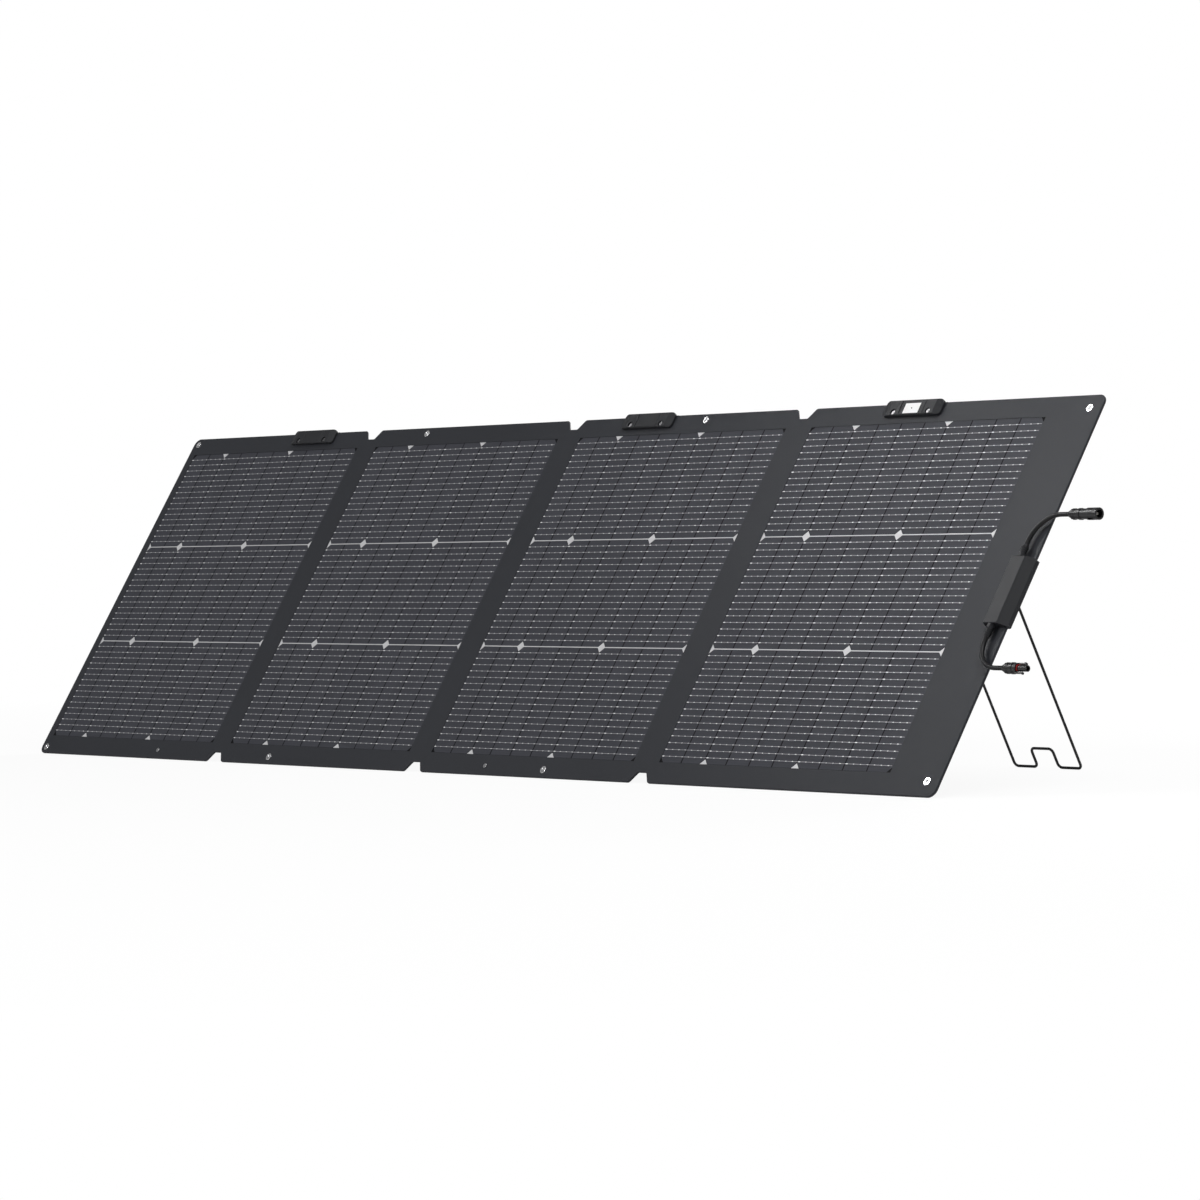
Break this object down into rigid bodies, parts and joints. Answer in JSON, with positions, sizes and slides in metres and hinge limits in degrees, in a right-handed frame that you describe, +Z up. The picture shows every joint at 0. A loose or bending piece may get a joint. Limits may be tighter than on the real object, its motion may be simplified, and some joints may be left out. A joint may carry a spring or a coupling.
{
  "type": "folding solar panel",
  "caption": "Portable solar panel of stiff rectangular leaves joined by flexible hinge bands, with wire kickstand legs, a junction box and two plug leads.",
  "frame": {"origin": "on the ground under the middle of the object's box, panel unfolded and standing", "axes": "+X to the right along the panel as seen from the front, the cells face -Y and up, +Z up"},
  "size_m": [2.3134, 0.569, 0.5288],
  "materials": {
    "skin": "coated, matt",
    "board": "woven, matt",
    "cells": "semi-gloss",
    "reflector": "semi-gloss",
    "busbar": "satin",
    "eyelet": "polished",
    "hinge_fabric": "coated, matt",
    "copper": "satin",
    "black_plastic": "fine grain",
    "steel": "satin",
    "wire": "satin",
    "white_plastic": "smooth",
    "circuit": "satin",
    "cable": "satin",
    "connector": "satin",
    "seal": "satin"
  },
  "bodies": {
    "leaf_4": {"bypass_diodes": "black_plastic", "cable_glands": "black_plastic", "connector_contacts": "copper", "connector_nuts": "connector", "foot_clip_4": "black_plastic", "hinge_leads_34": "copper", "hinge_strip_34": "hinge_fabric", "junction_box_base": "black_plastic", "junction_box_lid": "black_plastic", "leaf_4_board": "board", "leaf_4_busbars": "busbar", "leaf_4_cells": "cells", "leaf_4_cover": "skin", "leaf_4_eyelets": "eyelet", "leaf_4_reflectors": "reflector", "negative_cable": "cable", "plug_body": "connector", "plug_seal": "seal", "positive_cable": "cable", "socket_body": "connector", "stand_bracket_4": "black_plastic", "stand_cover_4": "black_plastic", "stand_screws_4": "steel", "sun_target": "white_plastic", "terminal_board": "circuit"},
    "leaf_3": {"clip_rivet_3": "steel", "foot_clip_3": "black_plastic", "hinge_leads_23": "copper", "hinge_strip_23": "hinge_fabric", "leaf_3_board": "board", "leaf_3_busbars": "busbar", "leaf_3_cells": "cells", "leaf_3_cover": "skin", "leaf_3_eyelets": "eyelet", "leaf_3_reflectors": "reflector", "stand_bracket_3": "black_plastic", "stand_cover_3": "black_plastic", "stand_screws_3": "steel"},
    "leaf_2": {"hinge_leads_12": "copper", "hinge_strip_12": "hinge_fabric", "leaf_2_board": "board", "leaf_2_busbars": "busbar", "leaf_2_cells": "cells", "leaf_2_cover": "skin", "leaf_2_eyelets": "eyelet", "leaf_2_reflectors": "reflector"},
    "leaf_1": {"clip_rivet_1": "steel", "foot_clip_1": "black_plastic", "leaf_1_board": "board", "leaf_1_busbars": "busbar", "leaf_1_cells": "cells", "leaf_1_cover": "skin", "leaf_1_eyelets": "eyelet", "leaf_1_reflectors": "reflector", "stand_bracket_1": "black_plastic", "stand_cover_1": "black_plastic", "stand_screws_1": "steel"},
    "leg_4": {"leg_4": "wire"},
    "leg_3": {"leg_3": "wire"},
    "leg_1": {"leg_1": "wire"}
  },
  "joints": [
    {"name": "fold_34", "type": "hinge", "parent": "leaf_4", "child": "leaf_3", "pos_m": [0.45055, -0.13463, 0.27203], "axis": [0, 0.5329, 0.8462], "range_deg": [0, 179.8]},
    {"name": "fold_23", "type": "hinge", "parent": "leaf_3", "child": "leaf_2", "pos_m": [-0.09005, -0.12955, 0.26883], "axis": [0, 0.5329, 0.8462], "range_deg": [0, 179.8]},
    {"name": "fold_12", "type": "hinge", "parent": "leaf_2", "child": "leaf_1", "pos_m": [-0.62805, -0.12363, 0.2651], "axis": [0, 0.5329, 0.8462], "range_deg": [0, 179.8]},
    {"name": "leg_4_swing", "type": "hinge", "parent": "leaf_4", "child": "leg_4", "pos_m": [0.68645, 0.03576, 0.49474], "axis": [-1, 0, 0], "range_deg": [0, 58.8]},
    {"name": "leg_3_swing", "type": "hinge", "parent": "leaf_3", "child": "leg_3", "pos_m": [0.09275, 0.03576, 0.49474], "axis": [-1, 0, 0], "range_deg": [0, 58.8]},
    {"name": "leg_1_swing", "type": "hinge", "parent": "leaf_1", "child": "leg_1", "pos_m": [-0.79225, 0.03576, 0.49474], "axis": [-1, 0, 0], "range_deg": [0, 58.8]}
  ]
}
